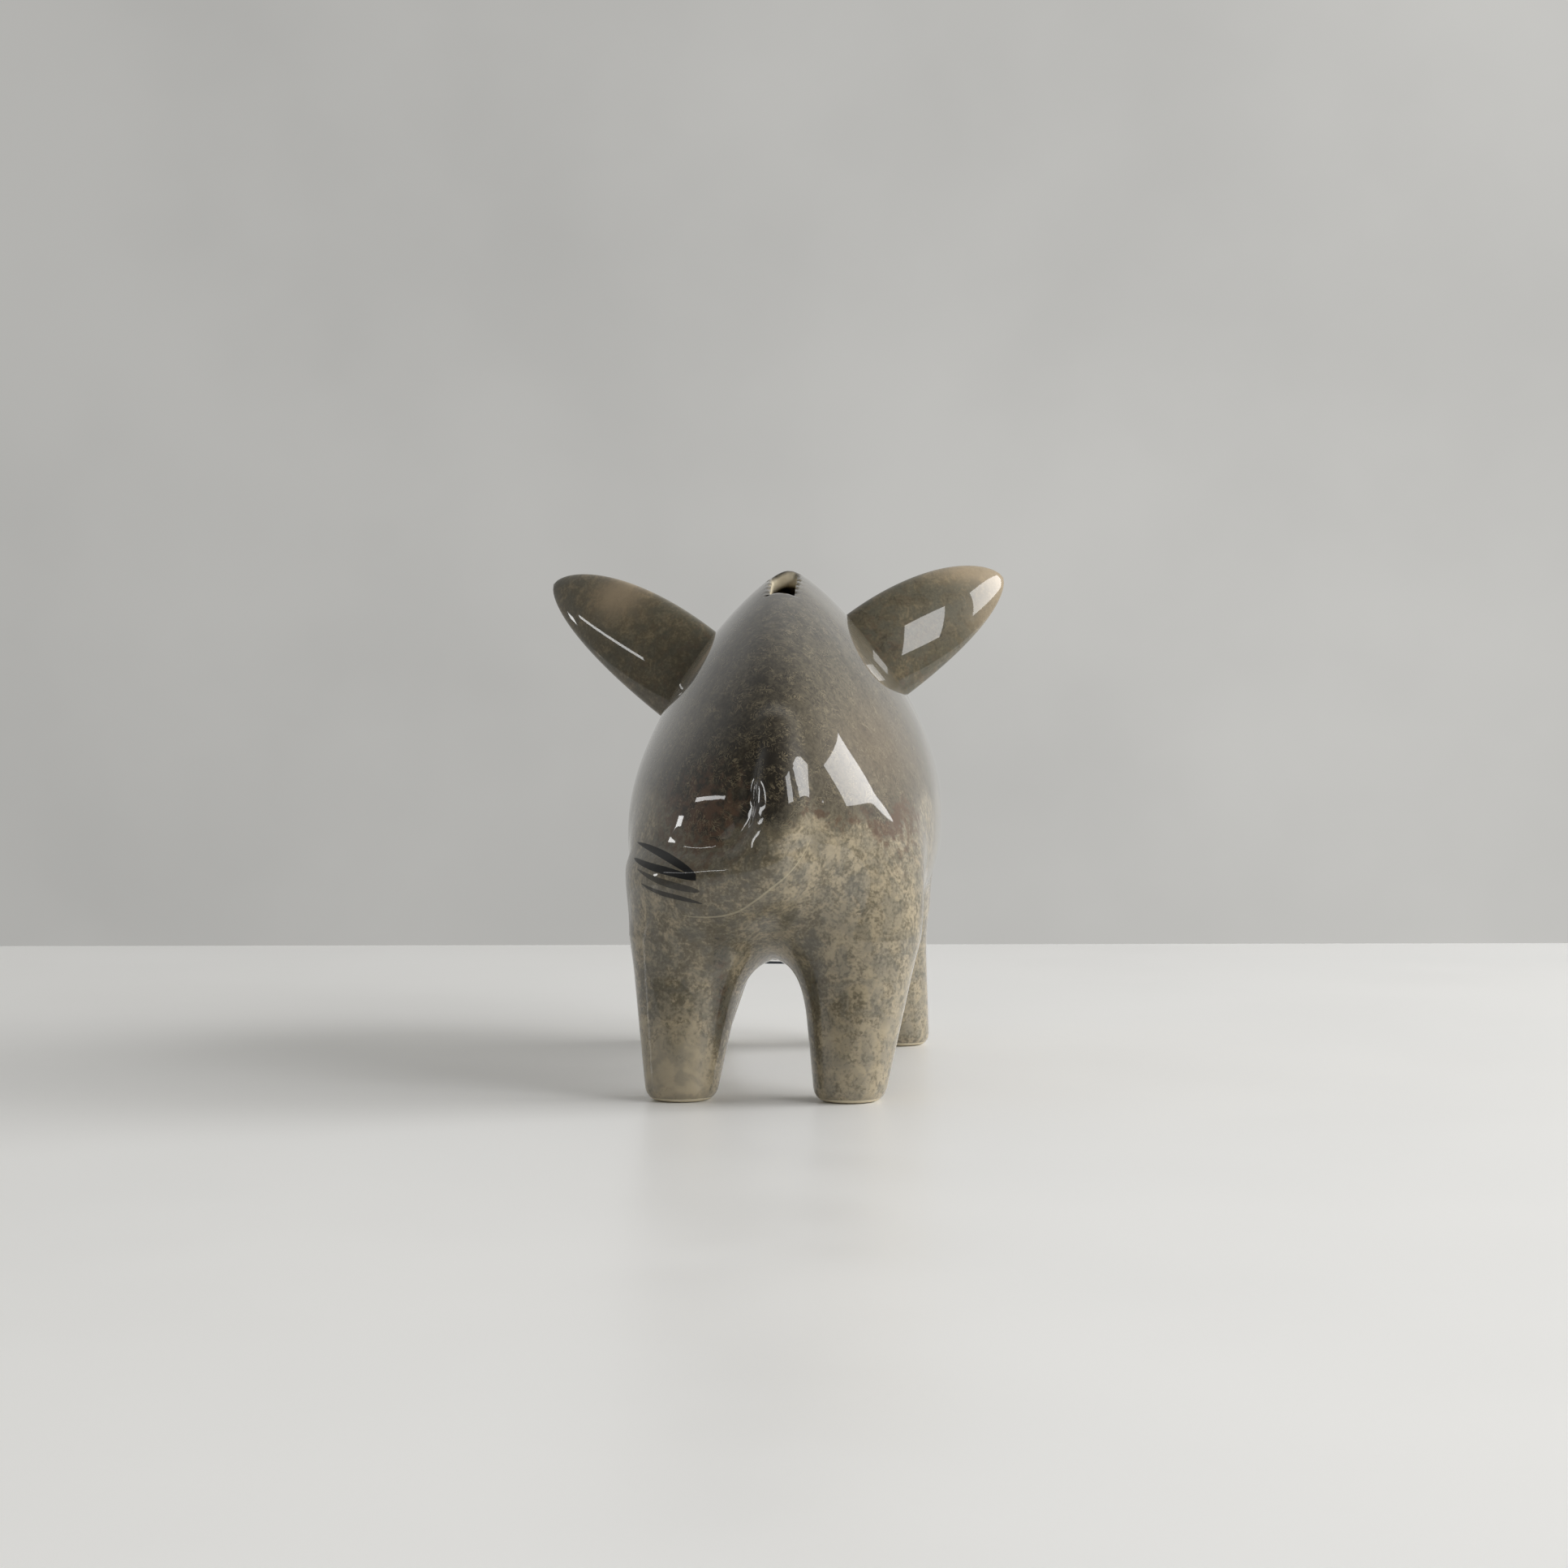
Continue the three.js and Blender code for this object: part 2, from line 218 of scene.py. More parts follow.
def cutters_field(x, y, z):
    """Negative inside the coin slot, the stopper's hole and its seat."""
    half = SLOT["length"] / 2
    turn = np.radians(SLOT["turn"])
    off_x, off_y = x - SLOT["x"], y - SLOT["start"] - half
    across = off_x * np.cos(turn) + off_y * np.sin(turn)
    along = off_y * np.cos(turn) - off_x * np.sin(turn)
    slot = smooth_max(np.abs(across) - SLOT["width"] / 2, np.abs(along) - half, 0.8)
    slot = np.maximum(slot, SLOT["floor"] - z)
    radial = np.hypot(x, y - STOPPER["y"])
    hole = np.maximum(radial - STOPPER["hole_r"], z - STOPPER["seat_z"] - 9)
    seat = np.maximum(radial - STOPPER["seat_r"], z - STOPPER["seat_z"])
    return np.minimum(slot, np.minimum(hole, seat))


def skin_field(x, y, z):
    """The outside of the casting: trunk, legs and the tail laid on the rump."""
    skin = trunk_field(x, y, z)
    for left, right in (LEGS[:2], LEGS[2:]):
        pair = np.minimum(leg_field(x, y, z, left), leg_field(x, y, z, right))
        skin = smooth_min(skin, pair, JOIN["leg"])
    return near_tail(x, y, z, skin)


def body_field(x, y, z):
    shell = smooth_max(skin_field(x, y, z), -(trunk_field(x, y, z) + WALL), 1.0)
    return smooth_max(shell, -cutters_field(x, y, z), 1.0)


def surface(field, low, high, cell, settle=4):
    """Surface nets: one vertex for each grid cell that the surface crosses, then a few
    steps that bring every vertex onto the surface itself."""
    axes = [np.arange(lo, hi + cell, cell) for lo, hi in zip(low, high)]
    x, y, z = np.meshgrid(*axes, indexing="ij")
    values = field(x, y, z)
    inside = values < 0
    shape = np.array(values.shape)
    cells = tuple(shape - 1)
    total, count = np.zeros(cells + (3,)), np.zeros(cells)
    corner = [np.array(c) for c in np.ndindex(2, 2, 2)]

    def at(grid, c):
        return grid[c[0]:c[0] + cells[0], c[1]:c[1] + cells[1], c[2]:c[2] + cells[2]]

    for a in corner:
        for axis in range(3):
            if a[axis]:
                continue
            b = a.copy()
            b[axis] = 1
            cross = at(inside, a) != at(inside, b)
            va, vb = at(values, a)[cross], at(values, b)[cross]
            spot = np.repeat(a[None].astype(float), len(va), axis=0)
            spot[:, axis] = va / (va - vb)
            total[cross] += spot
            count[cross] += 1
    active = count > 0
    index = np.full(cells, -1)
    index[active] = np.arange(active.sum())
    verts = np.argwhere(active) + total[active] / count[active][:, None]
    verts = verts * cell + np.array([ax[0] for ax in axes])

    quads = []
    for axis in range(3):
        others = [k for k in range(3) if k != axis]
        first = inside[tuple(slice(None, -1) if k == axis else slice(1, -1) for k in range(3))]
        second = inside[tuple(slice(1, None) if k == axis else slice(1, -1) for k in range(3))]
        for flip in (False, True):
            edge = np.argwhere((first & ~second) if not flip else (~first & second))
            edge[:, others] += 1
            ring = []
            for du, dv in ((0, 0), (1, 0), (1, 1), (0, 1)):
                c = edge.copy()
                c[:, others[0]] -= du
                c[:, others[1]] -= dv
                ring.append(index[c[:, 0], c[:, 1], c[:, 2]])
            ring = np.stack(ring, axis=1)
            if flip == (axis != 1):
                ring = ring[:, ::-1]
            quads.append(ring)
    quads = np.vstack(quads)
    for _ in range(settle):
        verts = relax(verts, quads)
        verts = settle_on(field, verts, cell)
    return verts, quads


def relax(verts, quads):
    """Moves each vertex halfway to the mean of its neighbours."""
    total, count = np.zeros_like(verts), np.zeros(len(verts))
    for k in range(4):
        a, b = quads[:, k], quads[:, (k + 1) % 4]
        for p, q in ((a, b), (b, a)):
            count += np.bincount(p, minlength=len(verts))
            for i in range(3):
                total[:, i] += np.bincount(p, weights=verts[q, i], minlength=len(verts))
    return verts + 0.5 * (total / count[:, None] - verts)


def settle_on(field, verts, cell):
    """One Newton step onto the field's zero level."""
    value = field(*verts.T)
    slope = gradient(field, verts)
    size = np.maximum((slope ** 2).sum(axis=1), 0.2)
    step = np.clip(value / size, -0.5 * cell, 0.5 * cell)
    return verts - slope * step[:, None]


def gradient(field, verts, h=0.05):
    """The field's slope at each vertex, by central differences."""
    slope = np.empty_like(verts)
    for k in range(3):
        shift = np.zeros(3)
        shift[k] = h
        slope[:, k] = (field(*(verts + shift).T) - field(*(verts - shift).T)) / (2 * h)
    return slope


# ---- meshes -------------------------------------------------------------------------------
def add_object(name, verts, faces, materials, smooth=True):
    mesh = bpy.data.meshes.new(name)
    mesh.from_pydata([tuple(v) for v in place(verts)], [], [tuple(f) for f in faces])
    mesh.validate()
    mesh.polygons.foreach_set("use_smooth", [smooth] * len(mesh.polygons))
    for material in materials:
        mesh.materials.append(material)
    mesh.update()
    obj = bpy.data.objects.new(name, mesh)
    bpy.context.scene.collection.objects.link(obj)
    return obj


def paint(obj, name, values):
    """Stores one number for each vertex, which a material reads by name."""
    layer = obj.data.attributes.new(name, "FLOAT", "POINT")
    layer.data.foreach_set("value", np.asarray(values, dtype=np.float32))


def ring_surface(rings, close_ends=True):
    """Faces over rings of equal point count, with a fan of triangles closing either end."""
    rings = np.asarray(rings)
    rows, cols = rings.shape[:2]
    verts = rings.reshape(-1, 3)
    faces = []
    for i in range(rows - 1):
        for j in range(cols):
            a, b = i * cols + j, i * cols + (j + 1) % cols
            faces.append((a, b, b + cols, a + cols))
    if close_ends:
        start, end = len(verts), len(verts) + 1
        verts = np.vstack([verts, rings[0].mean(axis=0), rings[-1].mean(axis=0)])
        last = (rows - 1) * cols
        for j in range(cols):
            k = (j + 1) % cols
            faces.append((start, k, j))
            faces.append((end, last + j, last + k))
    return verts, faces


def unit(vector):
    vector = np.asarray(vector, dtype=float)
    return vector / np.linalg.norm(vector)


# ---- pieces luted on ------------------------------------------------------------------------
EAR = dict(width=25.5, thickness=9.0, tip=3.0, hidden=0.25)
EARS = {
    "left_ear": ((-15.0, 112, 84.1), (-42.4, 118, 107.5), (-64.7, 137, 117.9)),
    "right_ear": ((8.7, 112, 89.8), (33.7, 118, 110.6), (52.3, 137, 119.4)),
}
EAR_SHADE = {"left_ear": 0.43, "right_ear": 0.52}
EAR_TAN = {  # where the glaze thins to tan: strength, centre and half sizes
    "left_ear": [(1.1, (-46.0, 124, 114.0), (7.0, 8, 5.5))],
    "right_ear": [(0.8, (44.0, 130, 121.0), (15, 10, 3.6)), (0.6, (53.0, 136, 117.5), (5, 8, 8)),
                  (0.6, (50.0, 130, 108.0), (7, 9, 6))],
}


def ear_rings(path, rows=60, cols=64):
    """A leaf: full and rounded behind, slightly dished in front, thin at the blunt tip."""
    root, bend, tip = (np.array(p, dtype=float) for p in path)
    rings, along = [], []
    for s in np.linspace(0.0, 1.0, rows) ** 0.8:
        centre = (1 - s) ** 2 * root + 2 * s * (1 - s) * bend + s * s * tip
        tangent = unit((1 - s) * (bend - root) + s * (tip - bend))
        across = unit(np.cross((0, 1, 0), tangent))
        forwards = np.cross(tangent, across)
        t = max(0.0, (s - EAR["hidden"]) / (1 - EAR["hidden"]))
        half_width = EAR["width"] / 2 * max(1 - t ** 1.9, 0.0012) ** 0.62
        half_thick = EAR["thickness"] / 2 + (EAR["tip"] - EAR["thickness"]) / 2 * t ** 1.5
        half_thick *= max(1 - t ** 6, 0.004) ** 0.5
        angle = np.linspace(0, 2 * np.pi, cols, endpoint=False)
        level = np.sin(angle)
        dish = np.where(level > 0, 1 - 0.62 * level, 1.0)
        rings.append(centre + np.outer(half_width * np.cos(angle), across)
                     + np.outer(half_thick * level * dish, forwards))
        along.append(np.full(cols, t))
    return np.array(rings), np.concatenate(along + [[0.0, 1.0]])


SNOUT = dict(radius=16.4, thickness=6.0, edge=2.6, nostril_r=2.5, nostril_x=6.0, sink=0.6)


def snout_field(x, y, z):
    """A round pad with a soft rim, dished a little, with two oval nostrils."""
    end = np.array(HEAD["end"])
    axis = unit(end - np.array(HEAD["start"]))
    out = (y - end[1]) * axis[1] + (z - end[2]) * axis[2]
    up = (z - end[2]) * axis[1] - (y - end[1]) * axis[2]
    radial = np.hypot(x, up)
    edge = SNOUT["edge"]
    side = np.maximum(radial - SNOUT["radius"] + edge, 0.0)
    face = np.maximum(np.abs(out - (SNOUT["thickness"] - SNOUT["sink"]) / 2)
                      - (SNOUT["thickness"] + SNOUT["sink"]) / 2 + edge, 0.0)
    pad = np.hypot(side, face) - edge
    pad = pad + 0.7 * np.exp(-(radial / 9.0) ** 2)
    oval = np.sqrt(((np.abs(x) - SNOUT["nostril_x"]) / 1.0) ** 2 + (up / 1.45) ** 2
                   + ((out - SNOUT["thickness"]) / 1.3) ** 2) - SNOUT["nostril_r"]
    return smooth_max(pad, -oval, 1.2)


EYE = dict(radius=3.2, along=0.52, angle=42.0, lift=2.8)


def eye_rings(side, cols=40):
    """A glazed bead facing out from the head."""
    start, end = np.array(HEAD["start"]), np.array(HEAD["end"])
    axis = unit(end - start)
    up = unit(np.cross((1, 0, 0), axis))
    reach = HEAD["muzzle"] + (HEAD["neck"] - HEAD["muzzle"]) * (1 - EYE["along"]) ** 1.25
    angle = np.radians(EYE["angle"])
    out = unit(np.array([side * np.cos(angle), 0, 0]) + np.sin(angle) * up + 0.2 * axis)
    seat = (start + EYE["along"] * (end - start) + EYE["lift"] * out
            + (reach - 0.4) * (side * HEAD["narrow"] * np.cos(angle) * np.array([1, 0, 0])
                               + np.sin(angle) * up))
    seat[0] += TORSO["x"]
    first = unit(np.cross(out, (0, 0, 1)))
    second = np.cross(out, first)
    turn = np.linspace(0, 2 * np.pi, cols, endpoint=False)
    rings = []
    profile = [(EYE["radius"] * np.sin(a), EYE["radius"] * (0.86 * np.cos(a)))
               for a in np.linspace(0.03, np.pi - 0.03, 26)]
    for radius, height in profile:
        rings.append(seat + height * out + radius * (np.outer(np.cos(turn), first)
                                                     + 0.94 * np.outer(np.sin(turn), second)))
    return np.array(rings)


# ---- stopper ----------------------------------------------------------------------------------
PLUG = dict(flange_r=12.5, flange=2.5, gap=0.3, recess_r=7.2, recess=1.5, bar=1.5, neck=9.65,
            waist=9.1, depth=8.5)


def stopper_field(x, y, z):
    """A soft plug: flange with a finger recess and pull bar, grooved neck, tapered end."""
    radial = np.hypot(x, y - STOPPER["y"])
    level = z - STOPPER["seat_z"]
    under = -PLUG["flange"] - PLUG["gap"]
    middle = (under - PLUG["gap"]) / 2
    edge = 0.8
    half = PLUG["flange"] / 2
    flange = np.hypot(np.maximum(radial - PLUG["flange_r"] + edge, 0),
                      np.maximum(np.abs(level - middle) - half + edge, 0)) - edge
    recess = smooth_max(radial - PLUG["recess_r"] + (level - under), level - under - PLUG["recess"],
                        0.8)
    bar = np.maximum(np.abs(x) - PLUG["bar"] / 2, level - under - PLUG["recess"] - 1)
    bar = smooth_max(bar, under + 0.25 - level, 0.6)
    flange = smooth_max(flange, -smooth_max(recess, -bar, 0.8), 0.5)
    waist = PLUG["neck"] - (PLUG["neck"] - PLUG["waist"]) * (
        smooth_step(level, -0.4, 0.8) - smooth_step(level, WALL - 0.4, WALL + 1.0))
    radius = waist - 1.9 * smooth_step(level, PLUG["depth"] - 3.2, PLUG["depth"])
    stem = smooth_max(radial - radius, level - PLUG["depth"], 1.2)
    stem = smooth_max(stem, -1.6 - level, 0.4)
    return smooth_min(flange, stem, 0.5)


# ---- materials ------------------------------------------------------------------------------
class Nodes:
    """Short calls for building one material's nodes."""

    def __init__(self, name):
        self.material = bpy.data.materials.new(name)
        self.material.use_nodes = True
        self.tree = self.material.node_tree
        self.tree.nodes.clear()
        self.output = self.tree.nodes.new("ShaderNodeOutputMaterial")
        self.shader = self.tree.nodes.new("ShaderNodeBsdfPrincipled")
        self.link(self.shader.outputs[0], self.output.inputs["Surface"])
        where = self.tree.nodes.new("ShaderNodeTexCoord")
        design = self.tree.nodes.new("ShaderNodeVectorMath")
        design.operation = "MULTIPLY_ADD"
        self.link(where.outputs["Object"], design.inputs[0])
        design.inputs[1].default_value = (1 / MM,) * 3
        design.inputs[2].default_value = tuple(-ORIGIN / MM)
        self.mm = design.outputs[0]
        split = self.tree.nodes.new("ShaderNodeSeparateXYZ")
        self.link(self.mm, split.inputs[0])
        self.x, self.y, self.z = split.outputs

    def link(self, source, target):
        self.tree.links.new(source, target)

    def set(self, **values):
        for name, value in values.items():
            self.shader.inputs[name.replace("_", " ")].default_value = value

    def to_socket(self, value, socket):
        if hasattr(value, "is_output"):
            self.link(value, socket)
        else:
            socket.default_value = value

    def attribute(self, name):
        node = self.tree.nodes.new("ShaderNodeAttribute")
        node.attribute_name = name
        return node.outputs["Fac"]

    def noise(self, size, detail=3.0, rough=0.55, vector=None, distort=0.0):
        """Soft noise from 0 to 1 whose features are about `size` millimetres across."""
        node = self.tree.nodes.new("ShaderNodeTexNoise")
        node.inputs["Scale"].default_value = 1 / size
        node.inputs["Detail"].default_value = detail
        node.inputs["Roughness"].default_value = rough
        node.inputs["Distortion"].default_value = distort
        self.link(vector or self.mm, node.inputs["Vector"])
        return node.outputs["Fac"]

    def warped(self, size, amount):
        """Coordinates pushed about by noise, so that cells come out irregular."""
        node = self.tree.nodes.new("ShaderNodeTexNoise")
        node.inputs["Scale"].default_value = 1 / size
        node.inputs["Detail"].default_value = 2.0
        self.link(self.mm, node.inputs["Vector"])
        push = self.tree.nodes.new("ShaderNodeVectorMath")
        push.operation = "MULTIPLY_ADD"
        self.link(node.outputs["Color"], push.inputs[0])
        push.inputs[1].default_value = (amount,) * 3
        self.link(self.mm, push.inputs[2])
        return push.outputs[0]

    def spread(self, size, detail=2.0, rough=0.5, distort=0.0, reach=0.14, vector=None):
        """Noise stretched over the whole range from 0 to 1."""
        value = self.noise(size, detail, rough, vector, distort)
        return self.ramp(value, 0.5 - reach, 0.5 + reach)

    def curve(self, value, low, high, points):
        """A smooth curve through (place, number) points; places run from low to high."""
        node = self.tree.nodes.new("ShaderNodeFloatCurve")
        self.link(self.ramp(value, low, high, smooth=False), node.inputs["Value"])
        track = node.mapping.curves[0].points
        spots = [((place - low) / (high - low), number) for place, number in points]
        track[0].location, track[1].location = spots[0], spots[-1]
        for spot in spots[1:-1]:
            track.new(*spot)
        node.mapping.update()
        return node.outputs[0]

    def stroke(self, points):
        """1 within a tapered line drawn on the rump as seen along Y, 0 elsewhere. Each point
        is x, z and the half width there, all in millimetres."""
        first, last = points[0][0], points[-1][0]
        low_z = min(z for x, z, half in points)
        high_z = max(z for x, z, half in points)
        level = self.curve(self.x, first, last,
                           [(x, (z - low_z) / (high_z - low_z)) for x, z, half in points])
        middle = self.ramp(level, 0.0, 1.0, low_z, high_z, smooth=False)
        half = self.curve(self.x, first, last, [(x, half) for x, z, half in points])
        off = self.math("ABSOLUTE", self.math("SUBTRACT", self.z, middle))
        mask = self.ramp(self.math("SUBTRACT", off, half), -0.06, 0.06, 1.0, 0.0)
        mask = self.math("MULTIPLY", mask, self.ramp(self.x, first - 0.1, first, smooth=False))
        mask = self.math("MULTIPLY", mask, self.ramp(self.x, last, last + 0.1, 1.0, 0.0))
        return self.math("MULTIPLY", mask, self.ramp(self.y, 22.0, 24.0, 1.0, 0.0))

    def math(self, operation, a, b=0.0, clamp=False):
        node = self.tree.nodes.new("ShaderNodeMath")
        node.operation = operation
        node.use_clamp = clamp
        self.to_socket(a, node.inputs[0])
        self.to_socket(b, node.inputs[1])
        return node.outputs[0]

    def ramp(self, value, low, high, to_low=0.0, to_high=1.0, smooth=True):
        """Maps low..high to to_low..to_high, and stays there outside it."""
        node = self.tree.nodes.new("ShaderNodeMapRange")
        node.interpolation_type = "SMOOTHSTEP" if smooth else "LINEAR"
        self.link(value, node.inputs["Value"])
        for name, number in (("From Min", low), ("From Max", high),
                             ("To Min", to_low), ("To Max", to_high)):
            node.inputs[name].default_value = number
        return node.outputs["Result"]

    def mix(self, factor, a, b, blend="MIX"):
        node = self.tree.nodes.new("ShaderNodeMix")
        node.data_type = "RGBA"
        node.blend_type = blend
        self.to_socket(factor, node.inputs[0])
        self.to_socket(a, node.inputs[6])
        self.to_socket(b, node.inputs[7])
        return node.outputs[2]

    def bump(self, height, strength, distance):
        node = self.tree.nodes.new("ShaderNodeBump")
        node.inputs["Strength"].default_value = strength
        node.inputs["Distance"].default_value = distance * MM
        self.link(height, node.inputs["Height"])
        self.link(node.outputs[0], self.shader.inputs["Normal"])


def colour(r, g, b):
    """Display values from 0 to 255 to a linear colour."""
    linear = [(c / 255 / 12.92) if c <= 10 else ((c / 255 + 0.055) / 1.055) ** 2.4
              for c in (r, g, b)]
    return (*linear, 1.0)


def glaze(name, palette, contrast, strokes_and_highlight=()):
    """Mottled reactive glaze: broad clouds, soft blotches, fine pale streaks and dark pits.

    The attribute `shade` runs from 0, pale, to 1, dark, and on the body it also holds painted
    reflections, dark bands inside the hind legs; the stain attribute is where it turns rusty, and
    it also tints the painted reflection band in the left hind leg; `tan` is where it thins to tan;
    `flecks` is where the fine streaks are strongest; `bare` is unglazed clay, which also shows as
    a ring under each foot. `contrast` scales the mottling.
    """
    light, mid, dark, stain, fleck, cool, tan = (colour(*rgb) for rgb in palette)
    n = Nodes(name)
    flecks = n.attribute("flecks")
    smooth_part = n.math("SUBTRACT", 1.0, flecks)
    wavy = n.warped(6.0, 5.0)
    even = n.math("SUBTRACT", 1.0, n.math("MULTIPLY", flecks, 0.55))
    layers = ((n.spread(22.0, 2.0), 0.16), (n.spread(6.0, 3.0, 0.6, 0.4), 0.16),
              (n.spread(2.0, 3.0, 0.6, 0.5, vector=wavy), 0.24), (n.spread(0.7, 2.0), 0.2))
    shade = n.attribute("shade")
    for layer, weight in layers:
        swing = n.math("MULTIPLY", n.math("SUBTRACT", layer, 0.5), weight * contrast)
        shade = n.math("ADD", shade, n.math("MULTIPLY", swing, even))
    base = n.mix(n.ramp(shade, 0.0, 0.52), light, mid)
    base = n.mix(n.ramp(shade, 0.48, 1.0), base, dark)
    chill = n.math("MULTIPLY", n.spread(3.6, 2.0, 0.5, 0.3, vector=wavy), 0.42)
    base = n.mix(n.math("MULTIPLY", chill, smooth_part), base, cool)
    brown_amount = n.math("ADD", n.attribute("stain"), n.math("MULTIPLY", n.spread(1.8, 3.0), 0.45))
    base = n.mix(n.ramp(brown_amount, 0.5, 1.05, 0.0, 0.85), base, stain)
    base = n.mix(n.math("MULTIPLY", n.attribute("tan"), 0.85), base, tan)
    hairs = n.math("ABSOLUTE", n.math("SUBTRACT", n.noise(1.9, 2.0, 0.6, wavy, 1.6), 0.5))
    hairs = n.math("MULTIPLY", n.ramp(hairs, 0.008, 0.045, 1.0, 0.0), n.spread(3.0, 2.0))
    hairs = n.math("MULTIPLY", hairs, n.math("ADD", 0.2, n.math("MULTIPLY", flecks, 0.3)))
    base = n.mix(hairs, base, fleck)
    pits = n.math("MULTIPLY", n.ramp(n.noise(1.1, 2.0, 0.6, wavy, 0.8), 0.56, 0.66), 0.26)
    base = n.mix(n.math("MULTIPLY", pits, flecks), base, dark)
    coat = 1.0
    # the lines paint the black and grey bristles on the tail's tip, and on the body also a painted
    # highlight along the tail's lower crease
    for points, tint, weight in strokes_and_highlight:
        mask = n.math("MULTIPLY", n.stroke(points), weight)
        base = n.mix(mask, base, colour(*tint))
        coat = n.math("SUBTRACT", coat, n.math("MULTIPLY", mask, 0.65))
    ring = n.ramp(n.math("ADD", n.z, n.math("MULTIPLY", n.noise(5.0, 1.0), 0.3)), 0.95, 1.1,
                  1.0, 0.0)
    bare = n.math("MAXIMUM", n.attribute("bare"), ring)
    clay = n.mix(n.noise(1.6, 4.0), colour(226, 216, 192), colour(204, 191, 164))
    n.link(n.mix(bare, base, clay), n.shader.inputs["Base Color"])
    n.link(n.math("ADD", n.math("MULTIPLY", bare, 0.35), 0.45), n.shader.inputs["Roughness"])
    coat = n.math("MULTIPLY", coat, n.math("SUBTRACT", 1.0, bare))
    n.link(coat, n.shader.inputs["Coat Weight"])
    n.set(Coat_Roughness=0.03, Coat_IOR=1.5, Specular_IOR_Level=0.2)
    swell = n.math("ADD", n.noise(9.0, 1.0), n.math("MULTIPLY", n.noise(0.7, 2.0), 0.04))
    n.bump(swell, 0.25, 0.05)
    return n.material


# the cream colour paints a highlight: a thin light line along the crease under the tail
BLACK, GREY, CREASE_HIGHLIGHT = (6, 6, 6), (44, 43, 41), (182, 172, 146)
STROKES_AND_HIGHLIGHT = [  # x, z and half width from one end to the other, then the colour and its strength
    (((-29.0, 56.2, 0.05), (-23.7, 54.7, 0.8), (-18.5, 52.5, 0.95), (-14.1, 49.9, 0.35)),
     BLACK, 1.0),
    (((-29.3, 52.8, 0.1), (-25.3, 51.6, 0.75), (-19.4, 50.4, 0.85), (-14.1, 49.2, 0.3)),
     BLACK, 1.0),
    (((-28.0, 50.6, 0.1), (-22.6, 48.5, 0.7), (-17.4, 47.3, 0.75), (-13.4, 46.6, 0.15)),
     GREY, 0.8),
    (((-26.9, 47.6, 0.1), (-22.6, 46.0, 0.5), (-17.3, 44.9, 0.5), (-12.8, 43.9, 0.1)),
     GREY, 0.9),
    # painted highlight: a thin cream line along the crease under the tail's lower edge, standing in
    # for light that the glaze catches there
    (((-17.5, 41.2, 0.05), (-12.1, 40.9, 0.15), (-5.8, 42.0, 0.22), (-1.7, 44.4, 0.25),
      (2.2, 47.4, 0.25), (5.4, 50.0, 0.22), (8.3, 53.5, 0.15), (10.8, 58.6, 0.05)),
     CREASE_HIGHLIGHT, 0.55),
]
BODY_GLAZE = glaze("mottled_body_glaze", (
    (166, 153, 127), (101, 93, 75), (36, 30, 20), (86, 63, 46), (150, 137, 109),
    (96, 96, 89), (134, 112, 82)), 1.0, STROKES_AND_HIGHLIGHT)
EAR_GLAZE = glaze("dark_ear_glaze", (
    (146, 131, 102), (94, 86, 67), (38, 33, 22), (104, 78, 60), (124, 113, 88),
    (82, 85, 76), (170, 151, 124)), 0.85)


def eye_material():
    n = Nodes("black_eye_glaze")
    tint = n.mix(n.noise(1.2, 3.0), colour(14, 12, 11), colour(30, 24, 20))
    n.link(tint, n.shader.inputs["Base Color"])
    n.link(n.ramp(n.noise(0.9), 0.3, 0.7, 0.06, 0.14), n.shader.inputs["Roughness"])
    n.set(Coat_Weight=1.0, Coat_Roughness=0.02)
    n.bump(n.noise(1.6, 1.0), 0.1, 0.05)
    return n.material


def rubber_material():
    n = Nodes("grey_stopper_rubber")
    grain = n.noise(0.5, 3.0, 0.6)
    tint = n.mix(n.noise(5.0, 3.0), colour(48, 56, 66), colour(62, 70, 80))
    tint = n.mix(n.ramp(grain, 0.55, 0.8, 0.0, 0.35), tint, colour(88, 94, 102))
    n.link(tint, n.shader.inputs["Base Color"])
    n.link(n.ramp(grain, 0.3, 0.7, 0.5, 0.68), n.shader.inputs["Roughness"])
    n.bump(grain, 0.35, 0.06)
    return n.material


def soft_spot(points, centre, size):
    """1 at the centre, falling smoothly to 0 over an ellipsoid of these half sizes."""
    off = (points - np.array(centre)) / np.array(size)
    return np.exp(-(off ** 2).sum(axis=1))


def spots(points, table):
    """The sum of soft spots, each given as its strength, centre and half sizes."""
    return sum(strength * soft_spot(points, centre, size) for strength, centre, size in table)


def paint_all(obj, **values):
    """Paints every number that the glaze reads; what isn't given is 0."""
    count = len(obj.data.vertices)
    for name in ("bare", "shade", "stain", "flecks", "tan"):
        paint(obj, name, np.clip(values.get(name, 0.0) + np.zeros(count), 0, 1))


